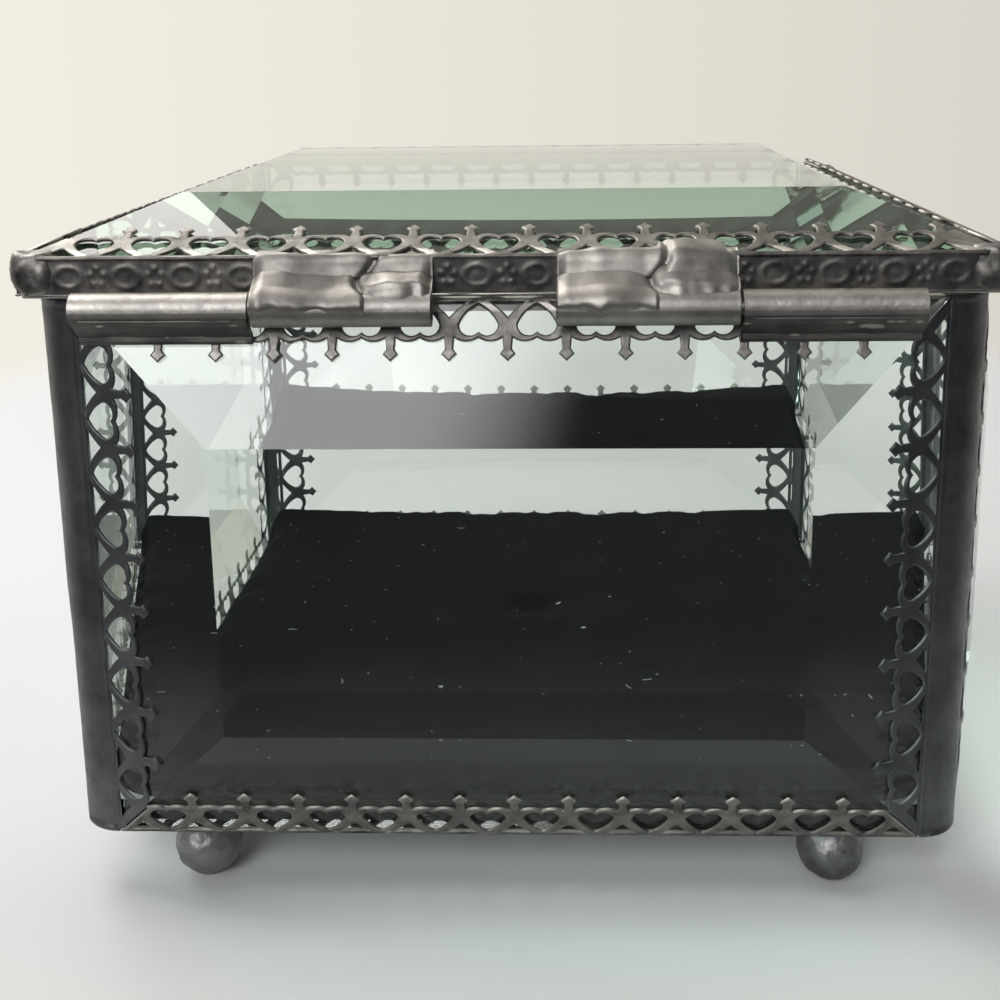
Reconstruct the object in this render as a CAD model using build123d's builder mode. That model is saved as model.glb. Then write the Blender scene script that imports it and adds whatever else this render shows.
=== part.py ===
from build123d import *
import os
from functools import cache
from math import atan2, ceil, cos, sin

# Glass casket box: five bevelled panes held in a pierced, stamped metal strip, with a flat glass
# base, a velvet pad, two tube hinges on the rear and four ball feet.
# Millimetres, +Z up. The origin is on the table at the middle of the box, and the hinged rear
# wall faces -Y. Sizes come first, then what follows from them, then one section per sub-part.

# ---------------------------------------------------------------- box
wall_width = 79.5        # hinge-side wall, between the ridges of its two corner bands
wall_depth = 78.3        # side wall, between the ridges of its two corner bands
wall_rise = 54.0         # wall, from the underside of the bottom rail to the top of the top rail
corner_radius = 4.45     # outer radius of the plain rounded band on each upright corner

# ---------------------------------------------------------------- glass
pane_edge = 3.0          # thickness of a pane at its ground edge
pane_plateau = 7.9       # thickness of a pane inside its bevel
bevel_width = 12.4
base_thickness = 2.0     # flat pane under the pad
glass_play = 0.05        # gap between a pane's edge and the strip round it

# ---------------------------------------------------------------- stamped strip
sheet = 0.35             # thickness of the metal
pitch = 5.3              # from one heart to the next
heart_width = 3.5
heart_height = 2.85
heart_cleft = 0.35       # depth of the dip between a heart's lobes
ridge_width = 0.45       # plain metal between the base line and a heart's point
strap = 0.6              # metal between a heart and the lobed outer line
lobe_dip = 0.35          # depth of the lobed line's dips, over each cleft and beside each stem
gusset_width = 3.1       # three-sided opening between two hearts
gusset_height = 1.35
stem_width = 0.95
stem_length = 1.0
head_width = 1.45
head_length = 1.15
lip_height = 2.0         # plain inner lip of a top rail

# ---------------------------------------------------------------- lid
lid_gap = 0.4            # between the top rails and the closed lid
lid_overhang = 0.9       # lid past the corner bands, on every side
lid_strip_shift = -0.75  # how far the lid's finials stand off their even places

# ---------------------------------------------------------------- hinges
tube_diameter = 3.2
pin_diameter = 1.6
pin_clearance = 0.05     # round the pin, in the tube's bore
tube_length = 16.0
tube_gap = 0.3           # between a lid tube and its box tube
hinge_gap = 11.2         # between the two lid tubes
hinge_shift = -1.1       # both hinges stand this far off the middle
hinge_reach = 1.5        # from the lid's outer face out to the pin
hinge_drop = 0.85        # from the lid's underside down to the pin
pin_recess = 0.4         # from each outer tube end in to the pin's end
solder_depth = 0.6       # thickness of the solder on the lid band and on the top rail
skirt_drop = 3.3         # solder on the top rail, below the pin

# ---------------------------------------------------------------- feet and pad
foot_diameter = 7.2
foot_height = 6.65
foot_flat = 0.3          # worn off under each ball
foot_from_side = 12.2    # foot centre in from the side walls' ridge plane
foot_from_face = 4.2     # foot centre in from the rear and front walls' ridge plane
board_thickness = 1.0
pad_rise = 2.7           # velvet pad at its crown
pad_side = 1.7           # velvet pad at its edge
pad_corner = 3.0
pad_pull = 0.7           # how far a side is drawn in between its corners
pad_play = 0.5           # between the pad and the walls
tuft_diameter = 12.0
tuft_depth = 0.9

# ---------------------------------------------------------------- derived sizes
half_x = wall_width / 2
half_y = wall_depth / 2
face_x = half_x + corner_radius                     # ridge plane of the side walls
face_y = half_y + corner_radius                     # ridge plane of the rear and front walls
base_z = foot_height
top_z = base_z + wall_rise
inset = sheet + glass_play                          # from the strip's outside to the glass
bevel_rise = pane_plateau - pane_edge
tilt = atan2(bevel_rise, bevel_width)               # slope of a bevel, and of the leg on it
lobe_line = ridge_width + heart_height + strap
stem_root = lobe_line - lobe_dip
head_root = stem_root + stem_length
finial_tip = head_root + head_length
inner_x = face_x - inset - pane_edge                # inside faces of the side panes
inner_y = face_y - inset - pane_edge                # inside faces of the rear and front panes
channel = pane_edge + 2 * inset                     # strip folded round a pane's edge
leg_root = sheet * sin(tilt) + glass_play           # how far a leaning leg's root is let in
mitre_gap = 2 * leg_root                            # between strips that meet at a corner

lid_z = top_z + lid_gap                             # underside of the lid
lid_top = lid_z + channel                           # ridge of the lid's band
lid_x = face_x + lid_overhang
lid_y = face_y + lid_overhang
lid_phase = pitch / 2 + lid_strip_shift

pin_out = lid_y + hinge_reach                       # pin line, behind the rear wall
pin_z = lid_z - hinge_drop
tube_radius = tube_diameter / 2
bore_radius = pin_diameter / 2 + pin_clearance
lid_tube_start = hinge_gap / 2
box_tube_start = lid_tube_start + tube_length + tube_gap

base_top = base_z + inset + base_thickness
board_top = base_top + board_thickness
foot_radius = foot_diameter / 2
foot_centre = foot_radius - foot_flat

os.makedirs("parts", exist_ok=True)


def save(piece, name):
    """Label a finished piece and write it to its own file."""
    piece.part.label = name
    export_step(piece.part, f"parts/{name}.step")


def save_pair(piece, name, opposite_name):
    """Write a piece, and its like half a turn round the box."""
    save(piece, name)
    with BuildPart() as turned:
        add(piece.part, rotation=(0, 0, 180))
    save(turned, opposite_name)


# ---------------------------------------------------------------- walls and their frames
# Each wall is seen from outside: its own x runs along it, its y runs up, and its z points out.
# The front wall is the rear one turned half round the box, and the left wall the right one.
WALLS = {
    "rear": (Vector(1, 0, 0), Vector(0, -1, 0), half_x, face_y),
    "right": (Vector(0, 1, 0), Vector(1, 0, 0), half_y, face_x),
}
OPPOSITE = {"rear": "front", "right": "left"}
UP = Vector(0, 0, 1)


def leg_plane(origin, direction, normal):
    """Plane of a strip's leg: y runs from the ridge to the finials, z is the outer side."""
    return Plane(origin=origin, x_dir=direction.cross(normal), z_dir=normal)


def tilted(direction, normal):
    """A leg's direction and outer normal, leaned out by the slope of the bevel under it."""
    return direction * cos(tilt) + normal * sin(tilt), normal * cos(tilt) - direction * sin(tilt)


# ---------------------------------------------------------------- stamped strip pattern
with BuildSketch() as heart_opening:
    heart_side = (heart_width / 2, ridge_width + 0.66 * heart_height)
    cleft = (0, ridge_width + heart_height - heart_cleft)
    with BuildLine():
        ThreePointArc((0, ridge_width),
                      (0.61 * heart_width / 2, ridge_width + 0.28 * heart_height), heart_side)
        ThreePointArc(heart_side, (0.58 * heart_width / 2, ridge_width + heart_height), cleft)
        mirror(about=Plane.YZ)
    make_face()

with BuildSketch() as gusset_opening:
    gusset_base = 0.6 * ridge_width
    with BuildLine():
        Line((-gusset_width / 2, gusset_base), (gusset_width / 2, gusset_base))
        ThreePointArc((gusset_width / 2, gusset_base),
                      (0.52 * gusset_width / 2, gusset_base + 0.42 * gusset_height),
                      (0, gusset_base + gusset_height))
        ThreePointArc((0, gusset_base + gusset_height),
                      (-0.52 * gusset_width / 2, gusset_base + 0.42 * gusset_height),
                      (-gusset_width / 2, gusset_base))
    make_face()


def finial(u):
    """Half-outlines of one finial at u, from its root on the left to its root on the right."""
    left = [
        (-stem_width / 2, stem_root),
        (-0.8 * stem_width / 2, head_root),
        (-head_width / 2, head_root + 0.42 * head_length),
        (-0.62 * head_width / 2, head_root + 0.62 * head_length),
    ]
    tip = [(0, finial_tip)]
    right = [(-x, y) for x, y in reversed(left)]
    return [(u + x, y) for x, y in left + tip + right]


@cache
def pierced_strip(half_length, slope, phase):
    """Flat pierced strip with mitred ends, its base line on the x axis and a finial at x = phase."""
    reach = ceil(half_length / pitch) + 1
    steps = [phase + k * pitch for k in range(-reach - 1, reach + 1)]
    hearts = [u + pitch / 2 for u in steps]
    hearts = [u for u in hearts if half_length - abs(u) >= heart_width / 2 + 0.8 * heart_height]
    gussets = [u for u in steps if half_length - abs(u) >= gusset_width / 2 + ridge_width]
    crown = [u for u in steps if half_length - abs(u) >= 0.95 * finial_tip * cos(slope)]
    half_root = stem_width / 2
    with BuildSketch() as strip:
        with BuildLine():
            for u in steps:
                if u in crown:
                    Polyline(finial(u))
                else:
                    Line((u - half_root, stem_root), (u + half_root, stem_root))
            for u in steps[:-1]:
                middle = u + pitch / 2
                lobe = (half_root + pitch / 2) / 2
                ThreePointArc((u + half_root, stem_root), (u + lobe, lobe_line),
                              (middle, stem_root))
                ThreePointArc((middle, stem_root), (u + pitch - lobe, lobe_line),
                              (u + pitch - half_root, stem_root))
            Polyline((steps[0] - half_root, stem_root), (steps[0] - half_root, 0),
                     (steps[-1] + half_root, 0), (steps[-1] + half_root, stem_root))
        make_face()
        with Locations(*[(u, 0) for u in hearts]):
            add(heart_opening.sketch, mode=Mode.SUBTRACT)
        with Locations(*[(u, 0) for u in gussets]):
            add(gusset_opening.sketch, mode=Mode.SUBTRACT)
        base = half_length - mitre_gap / 2
        high = finial_tip + 1
        with BuildLine():
            Polyline((-base, 0), (base, 0), (base - high * cos(slope), high),
                     (high * cos(slope) - base, high), close=True)
        make_face(mode=Mode.INTERSECT)
    return strip.sketch


# ---------------------------------------------------------------- panes
def bevelled_pane(plane, width, height):
    """Pane with its inner face on the plane and its bevelled plateau on the outer side."""
    with BuildPart() as pane:
        with BuildSketch(plane):
            Rectangle(width, height)
        extrude(amount=pane_edge)
        with BuildSketch(plane.offset(pane_edge)):
            Rectangle(width, height)
        with BuildSketch(plane.offset(pane_plateau)):
            Rectangle(width - 2 * bevel_width, height - 2 * bevel_width)
        loft(ruled=True)
    return pane


for side, (along, out, half_length, face) in WALLS.items():
    middle = out * (face - inset - pane_edge) + UP * (base_z + wall_rise / 2)
    pane = bevelled_pane(Plane(origin=middle, x_dir=along, z_dir=out),
                         2 * (half_length - glass_play), wall_rise - 2 * inset)
    save_pair(pane, f"{side}_glass", f"{OPPOSITE[side]}_glass")

lid_pane = bevelled_pane(Plane.XY.offset(lid_z + inset), 2 * (lid_x - inset), 2 * (lid_y - inset))
save(lid_pane, "lid_glass")

with BuildPart() as base_glass:
    with BuildSketch(Plane.XY.offset(base_z + inset)):
        Rectangle(2 * (inner_x - glass_play), 2 * (inner_y - glass_play))
    extrude(amount=base_thickness)
save(base_glass, "base_glass")

# ---------------------------------------------------------------- rails round the walls
for side, (along, out, half_length, face) in WALLS.items():
    foot_ridge = out * face + UP * base_z
    head_ridge = out * face + UP * top_z

    # Bottom rail: a pierced leg up the bevel, and a pierced leg in under the base.
    with BuildPart() as bottom_rail:
        with BuildSketch(leg_plane(foot_ridge, *tilted(UP, out))):
            add(pierced_strip(half_length, tilt, 0))
        extrude(amount=-sheet, clean=False)
        with BuildSketch(leg_plane(foot_ridge, -out, -UP)):
            add(pierced_strip(half_length - sheet, 0, 0))
        extrude(amount=-sheet, clean=False)
    save_pair(bottom_rail, f"bottom_rail_{side}", f"bottom_rail_{OPPOSITE[side]}")

    # Top rail: a pierced leg down the bevel, a plain band over the edge, and a plain inner lip.
    with BuildPart() as top_rail:
        with BuildSketch(leg_plane(head_ridge, *tilted(-UP, out))):
            add(pierced_strip(half_length, tilt, 0))
        extrude(amount=-sheet, clean=False)
        band_end = half_length - sheet - leg_root
        with BuildSketch(Plane(origin=head_ridge - along * band_end, x_dir=-out, z_dir=along)):
            with Locations((channel / 2, 0)):
                Rectangle(channel, sheet, align=(Align.CENTER, Align.MAX))
            with Locations((channel, 0)):
                Rectangle(sheet, lip_height, align=(Align.MAX, Align.MAX))
        extrude(amount=2 * band_end)
    save_pair(top_rail, f"top_rail_{side}", f"top_rail_{OPPOSITE[side]}")

# ---------------------------------------------------------------- corner posts
# Each post stands where the end of one wall meets the start of the next.
rear_along, rear_out = WALLS["rear"][:2]
right_along, right_out = WALLS["right"][:2]
corners = [
    ("rear_right", "front_left", (half_x, -half_y), (rear_along, rear_out), (right_along, right_out)),
    ("front_right", "rear_left", (half_x, half_y), (right_along, right_out),
     (rear_along * -1, rear_out * -1)),
]
for corner, opposite, (x, y), (along, out), (next_along, next_out) in corners:
    centre = Vector(x, y, 0)
    floor = Plane(origin=centre + UP * base_z, x_dir=along, z_dir=UP)
    with BuildPart() as post:
        with BuildSketch(floor):
            Circle(corner_radius)
            Circle(corner_radius - sheet, mode=Mode.SUBTRACT)
            Rectangle(2 * corner_radius, 2 * corner_radius, align=(Align.MIN, Align.MAX),
                      mode=Mode.INTERSECT)
            with Locations((0, -corner_radius)):
                Rectangle(leg_root, sheet, align=(Align.MAX, Align.MIN))
            with Locations((corner_radius, 0)):
                Rectangle(sheet, leg_root, align=(Align.MAX, Align.MIN))
        extrude(amount=wall_rise)
        for height in (0, wall_rise - sheet):
            with BuildSketch(floor.offset(height)):
                Circle(corner_radius)
                Rectangle(2 * corner_radius, 2 * corner_radius, align=(Align.MIN, Align.MAX),
                          mode=Mode.INTERSECT)
            extrude(amount=sheet)
        middle = UP * (base_z + wall_rise / 2)
        for inward, outward in ((along * -1, out), (next_along, next_out)):
            ridge = centre + outward * corner_radius + middle
            with BuildSketch(leg_plane(ridge, *tilted(inward, outward))):
                add(pierced_strip(wall_rise / 2, tilt, pitch / 2))
            extrude(amount=-sheet, clean=False)
    save_pair(post, f"corner_post_{corner}", f"corner_post_{opposite}")

# ---------------------------------------------------------------- rails round the lid
lid_sizes = {"rear": (lid_x, lid_y), "right": (lid_y, lid_x)}
for side, (half_length, face) in lid_sizes.items():
    along, out = WALLS[side][:2]
    with BuildPart() as lid_rail:
        with BuildSketch(leg_plane(out * face + UP * lid_top, *tilted(-out, UP))):
            add(pierced_strip(half_length, tilt, lid_phase))
        extrude(amount=-sheet, clean=False)
        with BuildSketch(leg_plane(out * face + UP * lid_z, -out, -UP)):
            add(pierced_strip(half_length, 0, lid_phase))
        extrude(amount=-sheet, clean=False)
        with BuildSketch(Plane(origin=out * face + UP * lid_z, x_dir=along, z_dir=UP)):
            base = half_length - mitre_gap / 2
            with BuildLine():
                Polyline((-base, 0), (base, 0), (base - sheet, sheet), (sheet - base, sheet),
                         close=True)
            make_face()
        extrude(amount=channel)
    save_pair(lid_rail, f"lid_rail_{side}", f"lid_rail_{OPPOSITE[side]}")

# ---------------------------------------------------------------- hinges, on the rear wall
# Profiles are drawn on a plane whose x points out from the box and whose y points up.
def hinge_plane(x):
    return Plane(origin=(x, 0, 0), x_dir=(0, -1, 0), z_dir=(-1, 0, 0))


def leg_out(z):
    """Outer surface of the top rail's leaning leg at height z."""
    return face_y + (top_z - z) * bevel_rise / bevel_width


for hand, sign in (("left", -1), ("right", 1)):
    def span(start):
        """Right-hand end of a tube that starts this far from the middle of the hinges."""
        return hinge_shift + (start + tube_length if sign > 0 else -start)

    for owner, start in (("lid", lid_tube_start), ("box", box_tube_start)):
        with BuildPart() as tube:
            with BuildSketch(hinge_plane(span(start))):
                with Locations((pin_out, pin_z)):
                    Circle(tube_radius)
                    Circle(bore_radius, mode=Mode.SUBTRACT)
            extrude(amount=tube_length)
        save(tube, f"{owner}_hinge_tube_{hand}")

    pin_length = 2 * tube_length + tube_gap - 2 * pin_recess
    pin_start = hinge_shift + (box_tube_start + tube_length - pin_recess if sign > 0
                               else -lid_tube_start - pin_recess)
    with BuildPart() as pin:
        with BuildSketch(hinge_plane(pin_start)):
            with Locations((pin_out, pin_z)):
                Circle(pin_diameter / 2)
        extrude(amount=pin_length)
    save(pin, f"hinge_pin_{hand}")

    # Solder that ties the lid tube to the lid's band.
    with BuildPart() as lid_solder:
        with BuildSketch(hinge_plane(span(lid_tube_start))):
            with BuildLine():
                Polyline(
                    (lid_y, lid_z + sheet), (lid_y, lid_top - sheet / 2),
                    (lid_y + solder_depth, lid_top - sheet),
                    (pin_out, pin_z + tube_radius + solder_depth),
                    (pin_out + 0.8 * tube_radius, pin_z + 0.8 * tube_radius + solder_depth / 3),
                    (pin_out + tube_radius + solder_depth / 4, pin_z + 0.3 * tube_radius),
                    (pin_out, pin_z), close=True)
            make_face()
            with Locations((pin_out, pin_z)):
                Circle(tube_radius, mode=Mode.SUBTRACT)
        extrude(amount=tube_length)
    save(lid_solder, f"lid_solder_{hand}")

    # Solder skirt that ties the box tube to the rear top rail.
    skirt_z = pin_z - skirt_drop
    with BuildPart() as box_solder:
        with BuildSketch(hinge_plane(span(box_tube_start))):
            with BuildLine():
                Polyline(
                    (leg_out(top_z) + glass_play, top_z),
                    (leg_out(skirt_z) + glass_play, skirt_z),
                    (leg_out(skirt_z) + glass_play + solder_depth, skirt_z),
                    (pin_out + 0.3 * tube_radius, pin_z - 0.9 * tube_radius),
                    (pin_out, pin_z), (pin_out - tube_radius, top_z), close=True)
            make_face()
            with Locations((pin_out, pin_z)):
                Circle(tube_radius, mode=Mode.SUBTRACT)
        extrude(amount=tube_length)
    save(box_solder, f"box_solder_{hand}")

# ---------------------------------------------------------------- feet
foot_x = face_x - foot_from_side
foot_y = face_y - foot_from_face
for corner, opposite, y in (("rear_right", "front_left", -foot_y), ("front_right", "rear_left", foot_y)):
    with BuildPart() as foot:
        with Locations((foot_x, y, foot_centre)):
            Sphere(foot_radius)
        with BuildSketch(Plane.XY):
            with Locations((foot_x, y)):
                Rectangle(2 * foot_diameter, 2 * foot_diameter)
        extrude(amount=foot_height, mode=Mode.INTERSECT)
    save_pair(foot, f"foot_{corner}", f"foot_{opposite}")

# ---------------------------------------------------------------- pad
pad_x = inner_x - pad_play
pad_y = inner_y - pad_play


with BuildPart() as pad_board:
    with BuildSketch(Plane.XY.offset(base_top)):
        RectangleRounded(2 * (pad_x - pad_pull), 2 * (pad_y - pad_pull), pad_corner)
    extrude(amount=board_thickness)
save(pad_board, "pad_board")

# The velvet is crowned, its sides are drawn in between the corners, and one tuft is pulled in.
crown_sag = pad_rise - pad_side
crown_radius = (pad_x**2 + crown_sag**2) / (2 * crown_sag)
tuft_radius = ((tuft_diameter / 2) ** 2 + tuft_depth**2) / (2 * tuft_depth)
pad_top = board_top + pad_rise
corners = [(pad_x, -pad_y), (pad_x, pad_y), (-pad_x, pad_y), (-pad_x, -pad_y)]
pulled = [(pad_x - pad_pull, 0), (0, pad_y - pad_pull), (pad_pull - pad_x, 0), (0, pad_pull - pad_y)]
with BuildPart() as velvet_pad:
    with BuildSketch(Plane.XY.offset(board_top)) as pad_outline:
        with BuildLine():
            for number in range(4):
                ThreePointArc(corners[number], pulled[number], corners[(number + 1) % 4])
        make_face()
        fillet(pad_outline.vertices(), pad_corner)
    extrude(amount=pad_rise)
    with Locations((0, 0, pad_top - crown_radius)):
        Sphere(crown_radius, mode=Mode.INTERSECT)
    fillet(velvet_pad.faces().sort_by(Axis.Z)[-1].edges(), 0.45 * pad_side)
    with Locations((0, 0, pad_top - tuft_depth + tuft_radius)):
        Sphere(tuft_radius, mode=Mode.SUBTRACT)
    tuft_rim = velvet_pad.edges().filter_by(lambda edge: edge.is_closed)
    fillet(tuft_rim.sort_by_distance((0, 0, pad_top))[0], tuft_diameter / 6)
save(velvet_pad, "velvet_pad")
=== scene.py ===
from math import atan2, ceil, cos, pi, radians, sin, sqrt

import bmesh
import bpy
import numpy as np
from mathutils import Matrix, Vector, noise


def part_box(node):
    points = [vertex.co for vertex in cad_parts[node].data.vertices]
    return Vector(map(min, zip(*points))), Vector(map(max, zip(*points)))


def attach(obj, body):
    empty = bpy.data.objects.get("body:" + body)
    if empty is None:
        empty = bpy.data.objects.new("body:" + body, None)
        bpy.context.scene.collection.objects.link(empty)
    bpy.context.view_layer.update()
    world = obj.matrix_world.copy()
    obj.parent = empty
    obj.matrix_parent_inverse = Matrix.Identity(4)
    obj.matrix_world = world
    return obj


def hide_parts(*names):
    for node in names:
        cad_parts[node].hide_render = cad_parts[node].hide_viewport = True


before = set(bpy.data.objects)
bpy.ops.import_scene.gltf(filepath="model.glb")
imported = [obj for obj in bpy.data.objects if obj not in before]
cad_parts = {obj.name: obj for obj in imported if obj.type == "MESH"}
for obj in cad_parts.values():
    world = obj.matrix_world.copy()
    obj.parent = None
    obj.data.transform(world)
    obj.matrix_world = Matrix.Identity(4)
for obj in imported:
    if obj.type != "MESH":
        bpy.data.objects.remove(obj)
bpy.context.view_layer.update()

# Looks of a glass casket box. The mesh helpers below work in millimetres, in the frame's own axes:
# the hinged rear wall faces -Y, which is the side that the camera sees.
MM = 0.001
scene = bpy.context.scene


def node_box(node):
    """Lowest and highest corner of a CAD node, in millimetres."""
    low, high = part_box(node)
    return low / MM, high / MM


# ------------------------------------------------------------------ sizes, in millimetres
PITCH = 5.3                 # stamped strip: from one heart to the next
SHEET = 0.35
HEART_WIDTH, HEART_HEIGHT, HEART_CLEFT = 3.5, 2.85, 0.35
RIDGE_WIDTH = 0.45
STRAP = 0.6
BEAD_RADIUS, BEAD_INSET = 0.26, 0.2  # rounded fold along a ridge, and how far in it sits
LOBE_DIP = 0.35
GUSSET_WIDTH, GUSSET_HEIGHT = 3.1, 1.35
STEM_WIDTH, STEM_LENGTH = 0.95, 1.0
HEAD_WIDTH, HEAD_LENGTH = 1.45, 1.15
LID_STRIP_SHIFT = -0.75
LIP_HEIGHT = 2.0
CORNER_RADIUS = 4.45
GLASS_PLAY = 0.05
PANE_EDGE = 3.0
BEVEL_WIDTH = 12.4

INSET = SHEET + GLASS_PLAY
CHANNEL = PANE_EDGE + 2 * INSET
LOBE_LINE = RIDGE_WIDTH + HEART_HEIGHT + STRAP
STEM_ROOT = LOBE_LINE - LOBE_DIP
HEAD_ROOT = STEM_ROOT + STEM_LENGTH
FINIAL_TIP = HEAD_ROOT + HEAD_LENGTH

rear_low, rear_high = node_box("rear_glass")
right_low, right_high = node_box("right_glass")
lid_low, lid_high = node_box("lid_glass")
HALF_X = rear_high.x + GLASS_PLAY
HALF_Y = right_high.y + GLASS_PLAY
FACE_X = right_low.x + PANE_EDGE + INSET
FACE_Y = -rear_high.y + PANE_EDGE + INSET
BASE_Z = rear_low.z - INSET
TOP_Z = rear_high.z + INSET
LID_X = lid_high.x + INSET
LID_Y = lid_high.y + INSET
LID_Z = lid_low.z - INSET
LID_TOP = LID_Z + CHANNEL
BEVEL_RISE = lid_high.z - lid_low.z - PANE_EDGE
TILT = atan2(BEVEL_RISE, BEVEL_WIDTH)
LEG_ROOT = SHEET * sin(TILT) + GLASS_PLAY

# Each wall: its own x direction, its outward direction, half its length and its ridge plane.
WALLS = {
    "rear": (Vector((1, 0, 0)), Vector((0, -1, 0)), HALF_X, FACE_Y),
    "right": (Vector((0, 1, 0)), Vector((1, 0, 0)), HALF_Y, FACE_X),
    "front": (Vector((-1, 0, 0)), Vector((0, 1, 0)), HALF_X, FACE_Y),
    "left": (Vector((0, -1, 0)), Vector((-1, 0, 0)), HALF_Y, FACE_X),
}
UP = Vector((0, 0, 1))


# ------------------------------------------------------------------ node helpers
def new_material(name):
    material = bpy.data.materials.new(name)
    material.use_nodes = True
    nodes, links = material.node_tree.nodes, material.node_tree.links
    nodes.clear()
    output = nodes.new("ShaderNodeOutputMaterial")
    return material, nodes, links, output


def add_node(nodes, kind, **values):
    """New node; values name its sockets, or its own settings where no socket has that name."""
    node = nodes.new(kind)
    for key, value in values.items():
        title = key.replace("_", " ")
        if title in node.inputs:
            node.inputs[title].default_value = value
        else:
            setattr(node, key, value)
    return node


def ramp(nodes, stops):
    node = nodes.new("ShaderNodeValToRGB")
    elements = node.color_ramp.elements
    while len(elements) < len(stops):
        elements.new(0.5)
    for element, (position, color) in zip(elements, stops):
        element.position = position
        element.color = (*color, 1) if len(color) == 3 else color
    return node


def metal(name, dark, light, rough, fine=900.0, bump=0.25, blotch=160.0, metallic=1.0, edge_highlight=0.0):
    """Darkened metal: blotches between two tones, uneven gloss, a fine grain and a highlight painted onto
    its sharp edges and folds.
    """
    material, nodes, links, output = new_material(name)
    shader = add_node(nodes, "ShaderNodeBsdfPrincipled", Metallic=metallic)
    place = nodes.new("ShaderNodeTexCoord")
    large = add_node(nodes, "ShaderNodeTexNoise", Scale=blotch, Detail=6.0, Roughness=0.65)
    small = add_node(nodes, "ShaderNodeTexNoise", Scale=fine, Detail=4.0, Roughness=0.6)
    tone = ramp(nodes, [(0.30, dark), (0.72, light)])
    gloss = ramp(nodes, [(0.25, (rough[0],) * 3), (0.75, (rough[1],) * 3)])
    bump_node = add_node(nodes, "ShaderNodeBump", Strength=bump, Distance=0.0002)
    for texture in (large, small):
        links.new(place.outputs["Object"], texture.inputs["Vector"])
    links.new(large.outputs["Fac"], tone.inputs["Fac"])
    links.new(small.outputs["Fac"], gloss.inputs["Fac"])
    links.new(small.outputs["Fac"], bump_node.inputs["Height"])
    # Painted highlight: on sharp edges and folds (high pointiness) the colour is mixed towards a bright
    # copy of the light tone, as if lit from above.
    edge = nodes.new("ShaderNodeNewGeometry")
    highlight_share = add_node(nodes, "ShaderNodeMapRange", From_Min=0.515, From_Max=0.60, To_Max=edge_highlight)
    highlighted = add_node(nodes, "ShaderNodeMix", data_type="RGBA")
    links.new(edge.outputs["Pointiness"], highlight_share.inputs["Value"])
    links.new(highlight_share.outputs["Result"], highlighted.inputs[0])
    links.new(tone.outputs["Color"], highlighted.inputs[6])
    highlighted.inputs[7].default_value = (*[min(1, 2.2 * part) for part in light], 1)
    links.new(highlighted.outputs[2], shader.inputs["Base Color"])
    links.new(gloss.outputs["Color"], shader.inputs["Roughness"])
    links.new(bump_node.outputs["Normal"], shader.inputs["Normal"])
    links.new(shader.outputs["BSDF"], output.inputs["Surface"])
    return material


def glass(name, tint, density):
    """Clear plate glass, faintly green through its depth, that lets light through to the pad."""
    material, nodes, links, output = new_material(name)
    shader = add_node(nodes, "ShaderNodeBsdfPrincipled", Base_Color=(0.97, 0.985, 0.975, 1),
                      Roughness=0.0, IOR=1.52)
    shader.inputs["Transmission Weight"].default_value = 1.0
    clear = add_node(nodes, "ShaderNodeBsdfTransparent", Color=(0.93, 0.95, 0.94, 1))
    path = nodes.new("ShaderNodeLightPath")
    mix = nodes.new("ShaderNodeMixShader")
    depth = add_node(nodes, "ShaderNodeVolumeAbsorption", Color=(*tint, 1), Density=density)
    links.new(path.outputs["Is Shadow Ray"], mix.inputs["Fac"])
    links.new(shader.outputs["BSDF"], mix.inputs[1])
    links.new(clear.outputs["BSDF"], mix.inputs[2])
    links.new(mix.outputs["Shader"], output.inputs["Surface"])
    links.new(depth.outputs["Volume"], output.inputs["Volume"])
    return material


def velvet(name):
    """Short black pile: soft sheen, uneven nap and stray white lint."""
    material, nodes, links, output = new_material(name)
    shader = add_node(nodes, "ShaderNodeBsdfPrincipled", Roughness=0.95)
    shader.inputs["Specular IOR Level"].default_value = 0.05
    shader.inputs["Sheen Weight"].default_value = 0.02
    shader.inputs["Sheen Roughness"].default_value = 0.5
    shader.inputs["Sheen Tint"].default_value = (0.55, 0.58, 0.60, 1)
    place = nodes.new("ShaderNodeTexCoord")
    nap = add_node(nodes, "ShaderNodeTexNoise", Scale=90.0, Detail=5.0, Roughness=0.6)
    pile = add_node(nodes, "ShaderNodeTexNoise", Scale=5200.0, Detail=2.0, Roughness=0.5)
    lint = add_node(nodes, "ShaderNodeTexNoise", Scale=620.0, Detail=1.0, Roughness=0.4)
    tone = ramp(nodes, [(0.30, (0.0015, 0.0018, 0.0018)), (0.75, (0.0045, 0.005, 0.005))])
    speck = ramp(nodes, [(0.80, (0, 0, 0)), (0.83, (1, 1, 1))])
    mix = add_node(nodes, "ShaderNodeMix", data_type="RGBA")
    bump_node = add_node(nodes, "ShaderNodeBump", Strength=0.35, Distance=0.0002)
    for texture in (nap, pile, lint):
        links.new(place.outputs["Object"], texture.inputs["Vector"])
    links.new(nap.outputs["Fac"], tone.inputs["Fac"])
    links.new(lint.outputs["Fac"], speck.inputs["Fac"])
    links.new(speck.outputs["Color"], mix.inputs[0])
    links.new(tone.outputs["Color"], mix.inputs[6])
    mix.inputs[7].default_value = (0.45, 0.45, 0.45, 1)
    links.new(mix.outputs[2], shader.inputs["Base Color"])
    links.new(pile.outputs["Fac"], bump_node.inputs["Height"])
    links.new(bump_node.outputs["Normal"], shader.inputs["Normal"])
    links.new(shader.outputs["BSDF"], output.inputs["Surface"])
    return material


# The stamped strip and the dark solder get a painted highlight on their sharp edges and folds.
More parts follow.
